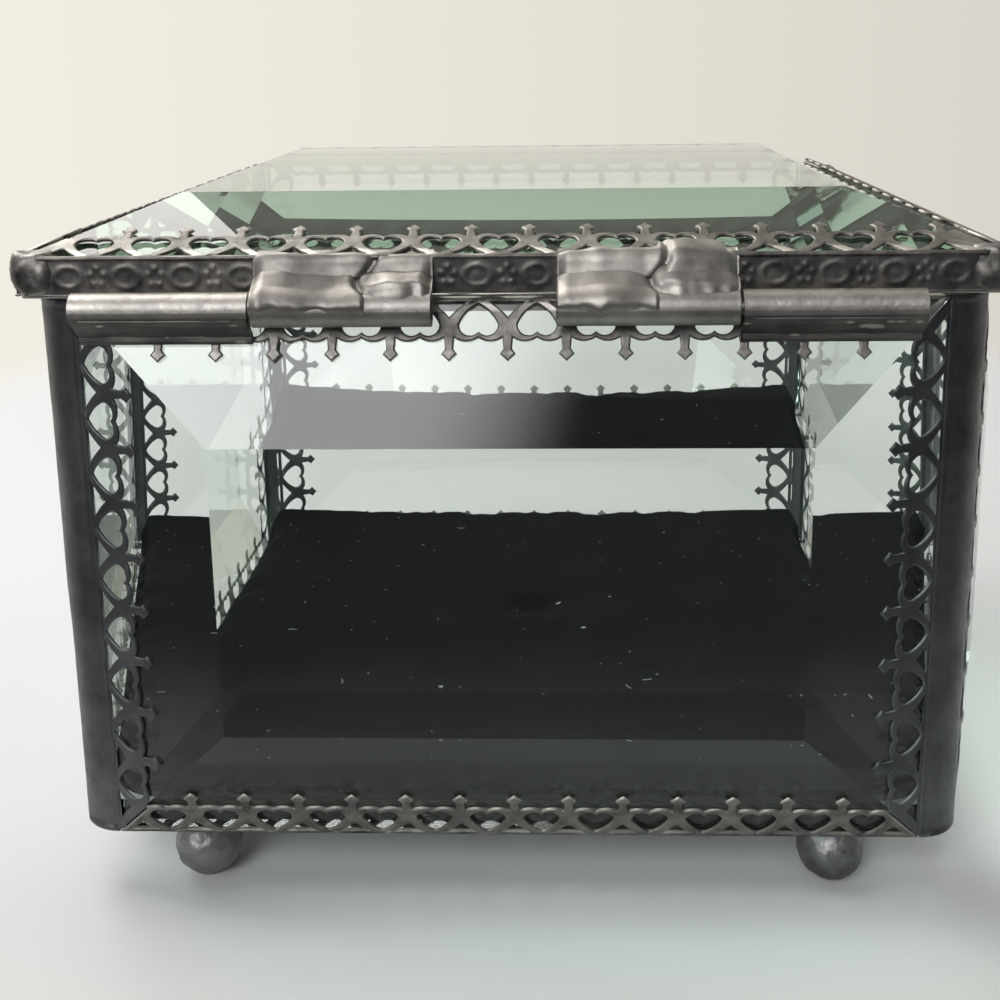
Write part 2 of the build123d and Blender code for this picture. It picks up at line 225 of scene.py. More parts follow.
STRIP = metal("stamped_pewter", (0.075, 0.072, 0.070), (0.30, 0.285, 0.265), (0.38, 0.58),
              blotch=420.0, edge_highlight=0.75)
BAND = metal("band_pewter", (0.095, 0.098, 0.103), (0.205, 0.21, 0.216), (0.42, 0.60), bump=0.15)
TUBE = metal("tinned_tube", (0.29, 0.275, 0.26), (0.60, 0.565, 0.53), (0.42, 0.58), fine=1400.0)
SOLDER = metal("solder", (0.22, 0.208, 0.195), (0.52, 0.49, 0.455), (0.42, 0.64), fine=420.0, bump=0.3)
SKIRT = metal("dark_solder", (0.10, 0.097, 0.092), (0.25, 0.24, 0.225), (0.48, 0.68), fine=420.0, edge_highlight=0.9)
FOOT = metal("cast_pewter", (0.10, 0.10, 0.105), (0.34, 0.34, 0.35), (0.40, 0.62), fine=700.0, bump=0.8)
STEEL = metal("pin_steel", (0.25, 0.25, 0.25), (0.45, 0.45, 0.45), (0.3, 0.45))
GLASS = glass("plate_glass", (0.42, 0.64, 0.52), 18.0)
VELVET = velvet("black_velvet")
LINT = metal("lint_fibre", (0.35, 0.35, 0.35), (0.6, 0.6, 0.6), (0.7, 0.9), metallic=0.0)
CARD = metal("black_card", (0.01, 0.01, 0.01), (0.02, 0.02, 0.02), (0.8, 0.95), metallic=0.0)


# ------------------------------------------------------------------ mesh helpers
def finish_piece(piece, name, material, body, slot, *nodes):
    piece.name = name
    piece.data.materials.clear()
    piece.data.materials.append(material)
    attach(piece, body)
    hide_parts(*nodes)
    return piece


def mesh_object(name, points, faces, smooth=True):
    """Mesh object from points in millimetres."""
    mesh = bpy.data.meshes.new(name)
    mesh.from_pydata([tuple(Vector(p) * MM) for p in points], [], faces)
    mesh.update()
    mesh.polygons.foreach_set("use_smooth", [smooth] * len(mesh.polygons))
    piece = bpy.data.objects.new(name, mesh)
    scene.collection.objects.link(piece)
    return piece


def grid_faces(rows, columns, start=0, flip=False):
    """Quads over a grid of points given row by row."""
    faces = []
    for r in range(rows - 1):
        for c in range(columns - 1):
            a = start + r * columns + c
            quad = (a, a + 1, a + columns + 1, a + columns)
            faces.append(quad[::-1] if flip else quad)
    return faces


def shell(name, front, back):
    """Closed shell between two equal grids of points, front one outwards."""
    rows, columns = len(front), len(front[0])
    points = [p for row in front for p in row] + [p for row in back for p in row]
    step = rows * columns
    faces = grid_faces(rows, columns) + grid_faces(rows, columns, step, True)
    border = [r * columns for r in range(rows)]
    border += [(rows - 1) * columns + c for c in range(1, columns)]
    border += [r * columns + columns - 1 for r in range(rows - 2, -1, -1)]
    border += list(range(columns - 2, 0, -1))
    for a, b in zip(border, border[1:] + border[:1]):
        faces.append((b, a, a + step, b + step))
    return mesh_object(name, points, faces)


def joined(pieces):
    """One object made of several meshes."""
    with bpy.context.temp_override(active_object=pieces[0], selected_editable_objects=pieces):
        bpy.ops.object.join()
    return pieces[0]


def ball_object(name, subdivisions, place):
    """Ball with each point moved to place(direction), in millimetres."""
    form = bmesh.new()
    bmesh.ops.create_icosphere(form, subdivisions=subdivisions, radius=1)
    for vertex in form.verts:
        vertex.co = place(vertex.co.normalized()) * MM
    mesh = bpy.data.meshes.new(name)
    form.to_mesh(mesh)
    form.free()
    mesh.polygons.foreach_set("use_smooth", [True] * len(mesh.polygons))
    ball = bpy.data.objects.new(name, mesh)
    scene.collection.objects.link(ball)
    return ball


def paint(node, material):
    """Gives a CAD node that stays visible its material."""
    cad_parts[node].data.materials.clear()
    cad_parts[node].data.materials.append(material)


def arc(a, b, c, count=7):
    """Points on the arc from a through b to c, without the last one."""
    (ax, ay), (bx, by), (cx, cy) = a, b, c
    d = 2 * (ax * (by - cy) + bx * (cy - ay) + cx * (ay - by))
    aa, bb, cc = ax * ax + ay * ay, bx * bx + by * by, cx * cx + cy * cy
    ux = (aa * (by - cy) + bb * (cy - ay) + cc * (ay - by)) / d
    uy = (aa * (cx - bx) + bb * (ax - cx) + cc * (bx - ax)) / d
    radius = sqrt((ax - ux) ** 2 + (ay - uy) ** 2)
    start, through, end = (atan2(y - uy, x - ux) for x, y in (a, b, c))
    if (through - start) % (2 * pi) < (end - start) % (2 * pi):
        sweep = (end - start) % (2 * pi)
    else:
        sweep = (end - start) % (2 * pi) - 2 * pi
    angles = [start + sweep * k / count for k in range(count)]
    return [(ux + radius * cos(t), uy + radius * sin(t)) for t in angles]


# ------------------------------------------------------------------ stamped strip
def heart_outline():
    side = (HEART_WIDTH / 2, RIDGE_WIDTH + 0.66 * HEART_HEIGHT)
    cleft = (0, RIDGE_WIDTH + HEART_HEIGHT - HEART_CLEFT)
    half = arc((0, RIDGE_WIDTH), (0.61 * HEART_WIDTH / 2, RIDGE_WIDTH + 0.28 * HEART_HEIGHT), side)
    half += arc(side, (0.58 * HEART_WIDTH / 2, RIDGE_WIDTH + HEART_HEIGHT), cleft, 10)
    return half + [cleft] + [(-x, y) for x, y in reversed(half[1:])]


def gusset_outline():
    base = 0.6 * RIDGE_WIDTH
    half = arc((GUSSET_WIDTH / 2, base), (0.52 * GUSSET_WIDTH / 2, base + 0.42 * GUSSET_HEIGHT),
               (0, base + GUSSET_HEIGHT), 6)
    return half + [(0, base + GUSSET_HEIGHT)] + [(-x, y) for x, y in reversed(half)]


def finial_outline(u):
    left = [(-STEM_WIDTH / 2, STEM_ROOT), (-0.8 * STEM_WIDTH / 2, HEAD_ROOT),
            (-HEAD_WIDTH / 2, HEAD_ROOT + 0.42 * HEAD_LENGTH),
            (-0.62 * HEAD_WIDTH / 2, HEAD_ROOT + 0.62 * HEAD_LENGTH)]
    whole = left + [(0, FINIAL_TIP)] + [(-x, y) for x, y in reversed(left)]
    return [(u + x, y) for x, y in whole]


def strip_outlines(half_length, slope, phase, gap):
    """Outline of a mitred strip, then its openings, all on the plane of the strip."""
    reach = ceil(half_length / PITCH) + 1
    steps = [phase + k * PITCH for k in range(-reach - 1, reach + 1)]
    crown = [u for u in steps if half_length - abs(u) >= 0.95 * FINIAL_TIP * cos(slope)]
    hearts = [u + PITCH / 2 for u in steps]
    hearts = [u for u in hearts if half_length - abs(u) >= HEART_WIDTH / 2 + 0.8 * HEART_HEIGHT]
    gussets = [u for u in steps if half_length - abs(u) >= GUSSET_WIDTH / 2 + RIDGE_WIDTH]
    root = STEM_WIDTH / 2
    line = []
    for u in steps:
        middle, lobe = u + PITCH / 2, (root + PITCH / 2) / 2
        line += finial_outline(u) if u in crown else [(u - root, STEM_ROOT), (u + root, STEM_ROOT)]
        line += arc((u + root, STEM_ROOT), (u + lobe, LOBE_LINE), (middle, STEM_ROOT), 6)[1:]
        line += arc((middle, STEM_ROOT), (u + PITCH - lobe, LOBE_LINE), (u + PITCH - root, STEM_ROOT), 6)
    base = half_length - gap

    def room(p):
        return base - p[1] * cos(slope) - abs(p[0])

    kept = []
    for p, q in zip(line, line[1:]):
        if room(p) >= 0:
            kept.append(p)
        if (room(p) >= 0) != (room(q) >= 0):
            share = room(p) / (room(p) - room(q))
            kept.append((p[0] + share * (q[0] - p[0]), p[1] + share * (q[1] - p[1])))
    outline = [(-base, 0)] + kept + [(base, 0)]
    holes = [[(u + x, y) for x, y in heart_outline()] for u in hearts]
    holes += [[(u + x, y) for x, y in gusset_outline()] for u in gussets]
    return [outline] + holes


def relief(name, outlines, thickness, rounding):
    """Plate with rounded edges, its outer face at z = 0, from outlines in the x-y plane."""
    curve = bpy.data.curves.new(name, "CURVE")
    curve.dimensions = "2D"
    curve.fill_mode = "BOTH"
    for outline in outlines:
        spline = curve.splines.new("POLY")
        spline.points.add(len(outline) - 1)
        spline.points.foreach_set("co", [v for x, y in outline for v in (x, y, 0, 1)])
        spline.use_cyclic_u = True
    curve.offset = -rounding
    curve.bevel_depth = rounding
    curve.bevel_resolution = 2
    curve.extrude = thickness / 2 - rounding
    shape = bpy.data.objects.new(name, curve)
    scene.collection.objects.link(shape)
    graph = bpy.context.evaluated_depsgraph_get()
    mesh = bpy.data.meshes.new_from_object(shape.evaluated_get(graph))
    bpy.data.objects.remove(shape)
    mesh.transform(Matrix.Translation((0, 0, -thickness / 2)))
    piece = bpy.data.objects.new(name, mesh)
    scene.collection.objects.link(piece)
    mesh.polygons.foreach_set("use_smooth", [True] * len(mesh.polygons))
    return piece


def leg_matrix(origin, direction, normal):
    """Puts the strip plane in place: y runs from the ridge to the finials, z points outwards."""
    across = direction.cross(normal)
    turn = Matrix((across, direction, normal)).transposed().to_4x4()
    return Matrix.Scale(MM, 4) @ Matrix.Translation(origin) @ turn


def tilted(direction, normal):
    return direction * cos(TILT) + normal * sin(TILT), normal * cos(TILT) - direction * sin(TILT)


def strip_leg(origin, direction, normal, half_length, slope, phase, gap=LEG_ROOT):
    leg = relief("leg", strip_outlines(half_length, slope, phase, gap), SHEET, 0.16)
    leg.data.transform(leg_matrix(origin, direction, normal))
    return leg


def bead(start, end, radius, wander=0.04):
    """Rounded fold of the strip, slightly uneven, from start to end."""
    line = end - start
    count = max(8, int(line.length / 1.2))
    side = line.normalized().orthogonal().normalized()
    other = side.cross(line.normalized())
    rows = []
    for k in range(count + 1):
        centre = start + line * (k / count)
        shift = noise.noise_vector(centre * 0.35) * wander
        rows.append([centre + shift + (side * cos(t) + other * sin(t)) * radius
                     for t in [2 * pi * j / 10 for j in range(11)]])
    return mesh_object("bead", [p for row in rows for p in row], grid_faces(count + 1, 11))


def plain_bar(start, end, across, up, width, height):
    """Flat strip of metal from start to end."""
    corners = [(0, 0), (width, 0), (width, height), (0, height)]
    points = [base + across * x + up * y for base in (start, end) for x, y in corners]
    faces = [(0, 1, 2, 3), (7, 6, 5, 4)] + [(k, k + 4, (k + 1) % 4 + 4, (k + 1) % 4) for k in range(4)]
    return mesh_object("bar", points, faces, smooth=False)


# ------------------------------------------------------------------ rails round the walls
for side, (along, out, half_length, face) in WALLS.items():
    foot_ridge = out * face + UP * BASE_Z
    head_ridge = out * face + UP * TOP_Z
    end = along * (half_length - LEG_ROOT)
    pieces = [
        strip_leg(foot_ridge, *tilted(UP, out), half_length, TILT, 0),
        strip_leg(foot_ridge, -out, -UP, half_length - SHEET, 0, 0),
        bead(foot_ridge - end + (UP - out) * BEAD_INSET,
             foot_ridge + end + (UP - out) * BEAD_INSET, BEAD_RADIUS),
    ]
    finish_piece(joined(pieces), f"stamped_bottom_rail_{side}", STRIP, "casket", "stamped_strip",
                 f"bottom_rail_{side}")
    band_end = along * (half_length - SHEET - LEG_ROOT)
    pieces = [
        strip_leg(head_ridge, *tilted(-UP, out), half_length, TILT, 0),
        bead(head_ridge - end - (UP + out) * BEAD_INSET,
             head_ridge + end - (UP + out) * BEAD_INSET, BEAD_RADIUS),
        plain_bar(head_ridge - band_end, head_ridge + band_end, -out, -UP, CHANNEL, SHEET),
        plain_bar(head_ridge - band_end - out * (CHANNEL - SHEET),
                  head_ridge + band_end - out * (CHANNEL - SHEET), -out, -UP, SHEET, LIP_HEIGHT),
    ]
    finish_piece(joined(pieces), f"stamped_top_rail_{side}", STRIP, "casket", "stamped_strip",
                 f"top_rail_{side}")

# ------------------------------------------------------------------ corner posts
CORNERS = {"rear_right": ("rear", "right"), "front_right": ("right", "front"),
           "front_left": ("front", "left"), "rear_left": ("left", "rear")}
for corner, (first, second) in CORNERS.items():
    along, out, half_length, face = WALLS[first]
    next_along, next_out = WALLS[second][:2]
    centre = along * half_length + out * (face - CORNER_RADIUS)
    rows, inner = [], []
    heights = np.linspace(BASE_Z, TOP_Z, 46)
    for z in heights:
        row, back = [], []
        for k in range(11):
            angle = pi / 2 * k / 10
            direction = out * cos(angle) + along * sin(angle)
            dent = 0.10 * noise.noise(Vector((z * 0.12, angle * 1.5, face + half_length)))
            dent += 0.035 * noise.noise(Vector((z * 0.7, angle * 4, half_length)))
            radius = CORNER_RADIUS - 0.10 + dent
            row.append(centre + direction * radius + UP * z)
            back.append(centre + direction * (CORNER_RADIUS - SHEET) + UP * z)
        rows.append(row)
        inner.append(back)
    pieces = [shell("band", rows, inner)]
    middle = UP * (BASE_Z + TOP_Z) / 2
    for inward, outward in ((-along, out), (next_along, next_out)):
        ridge = centre + outward * CORNER_RADIUS
        pieces.append(strip_leg(ridge + middle, *tilted(inward, outward), (TOP_Z - BASE_Z) / 2, TILT,
                                PITCH / 2))
        fold = ridge - outward * BEAD_INSET
        pieces.append(bead(fold + UP * (BASE_Z + 0.3), fold + UP * (TOP_Z - 0.3), BEAD_RADIUS))
    for z in (BASE_Z, TOP_Z - SHEET):
        fan = [centre + UP * z] + [centre + (out * cos(t) + along * sin(t)) * CORNER_RADIUS * 0.985 + UP * z
                                   for t in [pi / 2 * k / 12 for k in range(13)]]
        count = len(fan)
        points = fan + [p + UP * SHEET for p in fan]
        faces = [(0, k, k + 1) for k in range(1, count - 1)]
        faces += [(count, count + k + 1, count + k) for k in range(1, count - 1)]
        faces += [(k, k + count, (k + 1) % count + count, (k + 1) % count) for k in range(count)]
        pieces.append(mesh_object("cap", points, faces, smooth=False))
    finish_piece(joined(pieces), f"stamped_corner_post_{corner}", BAND, "casket", "stamped_strip",
                 f"corner_post_{corner}")

# ------------------------------------------------------------------ rails round the lid
LID_CORNER = 2.6            # radius that the band turns at a corner of the lid, and of the lump there
LUMP_PROUD = 0.55           # how far a corner's lump stands out past the band
LUMP_HALF_HEIGHT = 2.15
EMBOSS = 0.12               # depth of the band's stamping


def emboss(u, v):
    """Stamped pattern of the band at u along it and v up it: ovals between small sprigs."""
    cell = (u + 100 * PITCH) % PITCH - PITCH / 2
    ring = sqrt((cell / 1.30) ** 2 + ((v - 0.5 * CHANNEL) / 1.02) ** 2)
    height = 0.85 * np.exp(-((ring - 0.9) / 0.26) ** 2) + 0.4 * np.exp(-(ring / 0.6) ** 2)
    for leaf in range(5):
        turn = radians(90 + 72 * leaf)
        x = (abs(cell) - PITCH / 2) * (1 if cell > 0 else -1) - 0.62 * cos(turn)
        y = v - 0.5 * CHANNEL - 0.78 * sin(turn)
        height += 0.9 * np.exp(-(x * x + y * y) / 0.30 ** 2)
    return height


def corner_lump(along, out, half_length, face):
    """Band folded round a corner of the lid and filled with solder: an uneven rounded lump."""
    inset = LID_CORNER - LUMP_PROUD
    centre = along * (half_length - inset) + out * (face - inset) + UP * (LID_Z + LUMP_HALF_HEIGHT)

    def place(ball):
        wide = max(0.2, np.hypot(ball.x, ball.y))
        blunt = ((ball.x / wide) ** 4 + (ball.y / wide) ** 4) ** -0.125 if wide > 0.2 else 1
        squared = Vector((ball.x * blunt, ball.y * blunt, ball.z / max(abs(ball.z), 0.62)))
        rough = 0.93 + 0.12 * noise.noise(ball * 1.6 + centre) + 0.05 * noise.noise(ball * 5 + centre)
        return centre + Vector((squared.x * LID_CORNER, squared.y * LID_CORNER,
                                squared.z * LUMP_HALF_HEIGHT)) * rough

    return ball_object("lump", 4, place)


for side, (along, out, _, _) in WALLS.items():
    half_length, face = (LID_X, LID_Y) if side in ("rear", "front") else (LID_Y, LID_X)
    phase = PITCH / 2 + LID_STRIP_SHIFT
    gap = 0.293 * LID_CORNER
    columns = int(2 * (half_length - gap) / 0.14)
    levels = 30
    front, back = [], []
    for r in range(levels + 1):
        v = CHANNEL * r / levels
        edge = min(v, CHANNEL - v)
        roll = 0.30 - sqrt(max(0, 0.09 - max(0, 0.30 - edge) ** 2))
        row, row_back = [], []
        for c in range(columns + 1):
            u = -(half_length - gap) + 2 * (half_length - gap) * c / columns
            beyond = max(0, abs(u) - (half_length - LID_CORNER))
            turn = LID_CORNER - sqrt(LID_CORNER ** 2 - min(beyond, 0.99 * LID_CORNER) ** 2)
            fade = min(1, max(0, (half_length - abs(u) - 1.5) / 2))
            depth = EMBOSS * (1 - fade * min(1, emboss(u, v))) + roll + turn
            depth += 0.07 * noise.noise(Vector((u * 0.18, v * 0.3, face)))
            row.append(along * u + out * (face - depth) + UP * (LID_Z + v))
            row_back.append(along * u * (1 - 0.4 / half_length) + out * (face - turn - 0.42)
                            + UP * (LID_Z + v))
        front.append(row)
        back.append(row_back)
    end = along * (half_length - LID_CORNER)
    top_fold = out * (face - 0.22) + UP * (LID_TOP - 0.22)
    low_fold = out * (face - 0.22) + UP * (LID_Z + 0.22)
    pieces = [
        shell("band", front, back),
        strip_leg(out * face + UP * LID_TOP, *tilted(-out, UP), half_length, TILT, phase, 1.0),
        strip_leg(out * face + UP * LID_Z, -out, -UP, half_length, 0, phase, 1.0),
        bead(top_fold - end, top_fold + end, 0.27),
        bead(low_fold - end, low_fold + end, 0.21),
        corner_lump(along, out, half_length, face),
    ]
    finish_piece(joined(pieces), f"stamped_lid_rail_{side}", STRIP, "lid", "stamped_strip",
                 f"lid_rail_{side}")

# ------------------------------------------------------------------ hinges and solder
for hand in ("left", "right"):
    for owner in ("lid", "box"):
        paint(f"{owner}_hinge_tube_{hand}", TUBE)
    paint(f"hinge_pin_{hand}", STEEL)

tube_low, tube_high = node_box("lid_hinge_tube_left")
PIN_OUT = -(tube_low.y + tube_high.y) / 2
PIN_Z = (tube_low.z + tube_high.z) / 2
TUBE_RADIUS = (tube_high.z - tube_low.z) / 2


def path_point(path, share):
    """Point and outward direction at a share of the way down a list of (out, up) points."""
    lengths = [sqrt((q[0] - p[0]) ** 2 + (q[1] - p[1]) ** 2) for p, q in zip(path, path[1:])]
    goal = share * sum(lengths)
    for (p, q), length in zip(zip(path, path[1:]), lengths):
        if goal <= length or q is path[-1]:
            t = min(1, goal / length)
            x, y = p[0] + t * (q[0] - p[0]), p[1] + t * (q[1] - p[1])
            return x, y, (p[1] - q[1]) / length, (q[0] - p[0]) / length
        goal -= length


def solder_sheet(name, x0, x1, path, depth, rows=40, columns=64):
    """Solder run over a profile: depth(x share, way share) is its thickness, below 0 where bare."""
    front, back = [], []
    for r in range(rows + 1):
        row, row_back = [], []
        for c in range(columns + 1):
            out_at, up_at, out_n, up_n = path_point(path, r / rows)
            x = x0 + (x1 - x0) * c / columns
            d = depth(c / columns, r / rows, x)
            row.append(Vector((x, -(out_at + out_n * d), up_at + up_n * d)))
            row_back.append(Vector((x, -(out_at - out_n * 0.3), up_at - up_n * 0.3)))
        front.append(row)
        back.append(row_back)
    return shell(name, front, back)


def round_tube(first, last, count=14):
    """Points round the tube, from one angle to another: 0 points out from the box, 90 up."""
    return [(PIN_OUT + TUBE_RADIUS * cos(radians(a)), PIN_Z + TUBE_RADIUS * sin(radians(a)))
            for a in np.linspace(first, last, count)]


for hand, seed in (("left", 3.0), ("right", 11.0)):
    low, high = node_box(f"lid_hinge_tube_{hand}")
    path = [(LID_Y - 1.6, LID_TOP + 0.45), (LID_Y - 0.4, LID_TOP), (LID_Y, LID_TOP - 0.4),
            (LID_Y + 0.10, LID_Z + 1.6)] + round_tube(75, -35)

    def lid_depth(share, way, x, seed=seed, right_hand=hand == "right"):
        lump = noise.noise(Vector((x * 0.16, way * 1.4, seed)))
        fold = noise.noise(Vector((x * 0.40, way * 2.0, seed + 5)))
        rim = min(share, 1 - share) * (high.x - low.x)
        depth = 0.55 + 0.80 * lump + 0.34 * fold + 0.45 * np.exp(-((way - 0.44) / 0.13) ** 2)
        crease = 0.56 if right_hand else 0.63
        depth -= 0.55 * np.exp(-((share - crease - 0.05 * sin(9 * way)) / 0.018) ** 2)
        depth *= min(1, 0.35 + rim / 1.4)
        lower = 0.84 if share < crease else 0.62
        lower += 0.05 * noise.noise(Vector((x * 0.8, 0, seed + 9)))
        depth -= max(0, way - lower) * 8
        upper = 0.17 - 0.06 * noise.noise(Vector((x * 0.3, 4, seed)))
        if right_hand and crease < share < 0.93:
            upper = 0.03
        depth -= max(0, upper - way) * 11
        return max(-0.2, depth)

    lump = solder_sheet("solder", low.x - 0.1, high.x + 0.1, path, lid_depth)
    finish_piece(lump, f"lumpy_lid_solder_{hand}", SOLDER, "lid", "solder", f"lid_solder_{hand}")

    low, high = node_box(f"box_hinge_tube_{hand}")
    slope = BEVEL_RISE / BEVEL_WIDTH
    foot_z = PIN_Z - 3.3
    path = round_tube(-20, -60, 8) + [(FACE_Y + (TOP_Z - foot_z - 0.8) * slope + 0.62, foot_z + 0.8),
                                      (FACE_Y + (TOP_Z - foot_z) * slope + 0.35, foot_z)]

    def box_depth(share, way, x, seed=seed):
        depth = 0.12 + 0.10 * noise.noise(Vector((x * 0.25, way * 3, seed + 20)))
        return depth - max(0, way - 0.93) * 5

    lip_out = PIN_OUT + (TUBE_RADIUS + 0.05) * cos(radians(28))
    lip_z = PIN_Z - (TUBE_RADIUS + 0.05) * sin(radians(28))
    lip = bead(Vector((low.x + 0.9, -lip_out, lip_z)), Vector((high.x - 1.4, -lip_out, lip_z)), 0.2)
    skirt = joined([solder_sheet("solder", low.x, high.x, path, box_depth), lip])
    finish_piece(skirt, f"smooth_box_solder_{hand}", SKIRT, "casket", "solder", f"box_solder_{hand}")

# ------------------------------------------------------------------ feet
for number, corner in enumerate(CORNERS):
    low, high = node_box(f"foot_{corner}")
    centre = (low + high) / 2
    radius = (high.x - low.x) / 2
    centre.z = low.z + (high.x - low.x) / 2 - 0.3

    def place(direction, low=low, centre=centre, radius=radius, number=number):
        seed = direction * 1.6 + Vector((number * 7, 0, 0))
        rough = 0.05 * noise.noise(seed) + 0.025 * noise.noise(seed * 3) + 0.012 * noise.noise(seed * 9)
        spot = centre + direction * radius * (0.94 + rough)
        spot.z = max(low.z, spot.z)
        return spot

    foot = ball_object("foot", 5, place)
    finish_piece(foot, f"rough_foot_{corner}", FOOT, "casket", "cast_foot", f"foot_{corner}")

# ------------------------------------------------------------------ glass and card
for pane in ("rear_glass", "front_glass", "left_glass", "right_glass", "lid_glass", "base_glass"):
    paint(pane, GLASS)
paint("pad_board", CARD)

# ------------------------------------------------------------------ velvet pad
PAD_SCALE = 10              # the pad is simulated ten times its size, where cloth behaves
pad_low, pad_high = node_box("velvet_pad")
pad_half = (pad_high - pad_low) / 2
PAD_FLAT = 3.8              # height of the pad inside its rounded border
PAD_ROUND = 0.04            # width of that border, as a share of half the pad
PAD_PROUD = 1.5             # how far the filled pad may swell above its node
TUFT = Vector((0.6, 0.2, 0))
across, deep = 72, 66


def pad_edge(a, b):
    """Point of the pad's plan at a, b from -1 to 1: rounded corners, sides drawn in."""
    x, y = a * pad_half.x, b * pad_half.y
    x -= 0.45 * a * (1 - b * b) * abs(a)
    y -= 0.45 * b * (1 - a * a) * abs(b)
    corner = max(0, abs(a) - 0.92) / 0.08 * max(0, abs(b) - 0.92) / 0.08
    return x - 0.9 * corner * (1 if a > 0 else -1), y - 0.9 * corner * (1 if b > 0 else -1)


def pad_mesh():
    top, bottom = [], []
    for r in range(deep + 1):
        b = -1 + 2 * r / deep
        row, low_row = [], []
        for c in range(across + 1):
            a = -1 + 2 * c / across
            x, y = pad_edge(a, b)
            border = min(1 - abs(a), 1 - abs(b))
            round_off = 1 - min(1, border / PAD_ROUND)
            rise = PAD_FLAT * (0.45 + 0.55 * sqrt(1 - round_off * round_off))
            rise += 0.22 * (1 - a * a) * (1 - b * b)
            row.append(Vector((x, y, pad_low.z + rise)))
            low_row.append(Vector((x, y, pad_low.z)))
        top.append(row)
        bottom.append(low_row)
    return shell("pad", top, bottom)


pad = pad_mesh()
flat_count = (deep + 1) * (across + 1)
places = np.array([v.co for v in pad.data.vertices]) / MM
reach = np.hypot(places[:, 0] - TUFT.x, places[:, 1] - TUFT.y)
for number, vertex in enumerate(pad.data.vertices):
    if number < flat_count:
        turn = atan2(places[number, 1] - TUFT.y, places[number, 0] - TUFT.x)
        sink = 0.95 * np.exp(-(reach[number] / 4.6) ** 2)
        pleat = 0.10 * sin(9 * turn + 0.6 * sin(3 * turn)) * np.exp(-((reach[number] - 7) / 4) ** 2)
        vertex.co.z -= (sink + pleat) * MM
pad.data.transform(Matrix.Scale(PAD_SCALE, 4))
held = pad.vertex_groups.new(name="held")
fixed = [n for n in range(len(places)) if n >= flat_count or reach[n] < 1.9]
held.add(fixed, 1.0, "REPLACE")
cloth = pad.modifiers.new("cloth", "CLOTH")
cloth.settings.quality = 6
cloth.settings.mass = 0.3
cloth.settings.use_pressure = True
cloth.settings.uniform_pressure_force = 3.5
cloth.settings.effector_weights.gravity = 0
cloth.settings.vertex_group_mass = "held"
cloth.settings.shrink_min = -0.035
cloth.settings.bending_stiffness = 0.8
cloth.settings.air_damping = 4
for step in range(1, 21):
    scene.frame_set(step)
graph = bpy.context.evaluated_depsgraph_get()
swollen = bpy.data.meshes.new_from_object(pad.evaluated_get(graph))
moved = np.array([v.co for v in swollen.vertices]) / MM / PAD_SCALE
rest = np.array([v.co for v in pad.data.vertices]) / MM / PAD_SCALE
pad.modifiers.clear()
pad.data.transform(Matrix.Scale(1 / PAD_SCALE, 4))
step = np.clip(moved - rest, -0.8, 0.8)
shaped = rest + step
shaped[:, 2] = np.clip(shaped[:, 2], pad_low.z, pad_high.z + PAD_PROUD)
shaped[:, 0] = np.clip(shaped[:, 0], pad_low.x, pad_high.x)
shaped[:, 1] = np.clip(shaped[:, 1], pad_low.y, pad_high.y)
pad.data.vertices.foreach_set("co", (shaped * MM).ravel())
pad.data.update()
scene.frame_set(1)
finish_piece(pad, "velvet_cushion", VELVET, "casket", "velvet", "velvet_pad")

# ------------------------------------------------------------------ lint on the velvet
LINT_COUNT = 70
draw = np.random.default_rng(7)
pad_points = np.array([v.co for v in pad.data.vertices])[:flat_count] / MM
lint_curve = bpy.data.curves.new("lint", "CURVE")
lint_curve.dimensions = "3D"
lint_curve.bevel_depth = 0.035 * MM
lint_curve.bevel_resolution = 1
for number in range(LINT_COUNT):
    spot = Vector(pad_points[draw.integers(across * 4, flat_count - across * 4)])
    length = draw.choice([0.12, 0.2, 0.35, 1.1], p=[0.45, 0.3, 0.15, 0.1])
    heading, bend = draw.uniform(0, 2 * pi), draw.uniform(-1.5, 1.5)
    spline = lint_curve.splines.new("POLY")
    spline.points.add(4)
    here = spot + Vector((0, 0, 0.06))
    for point in spline.points:
        point.co = (*(here * MM), 1)
        here = here + Vector((cos(heading), sin(heading), 0)) * length / 4
        heading += bend / 4
lint_shape = bpy.data.objects.new("lint_shape", lint_curve)
scene.collection.objects.link(lint_shape)
lint_mesh = bpy.data.meshes.new_from_object(
    lint_shape.evaluated_get(bpy.context.evaluated_depsgraph_get()))
bpy.data.objects.remove(lint_shape)
lint = bpy.data.objects.new("lint", lint_mesh)
scene.collection.objects.link(lint)
lint.data.materials.append(LINT)
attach(lint, "casket")

# ------------------------------------------------------------------ floor, light and camera
FLOOR_CENTRE = (0, 0.09, 0)
FLOOR_FADE = (0.14, 0.20)   # metres from that centre: the floor fades into the room behind it


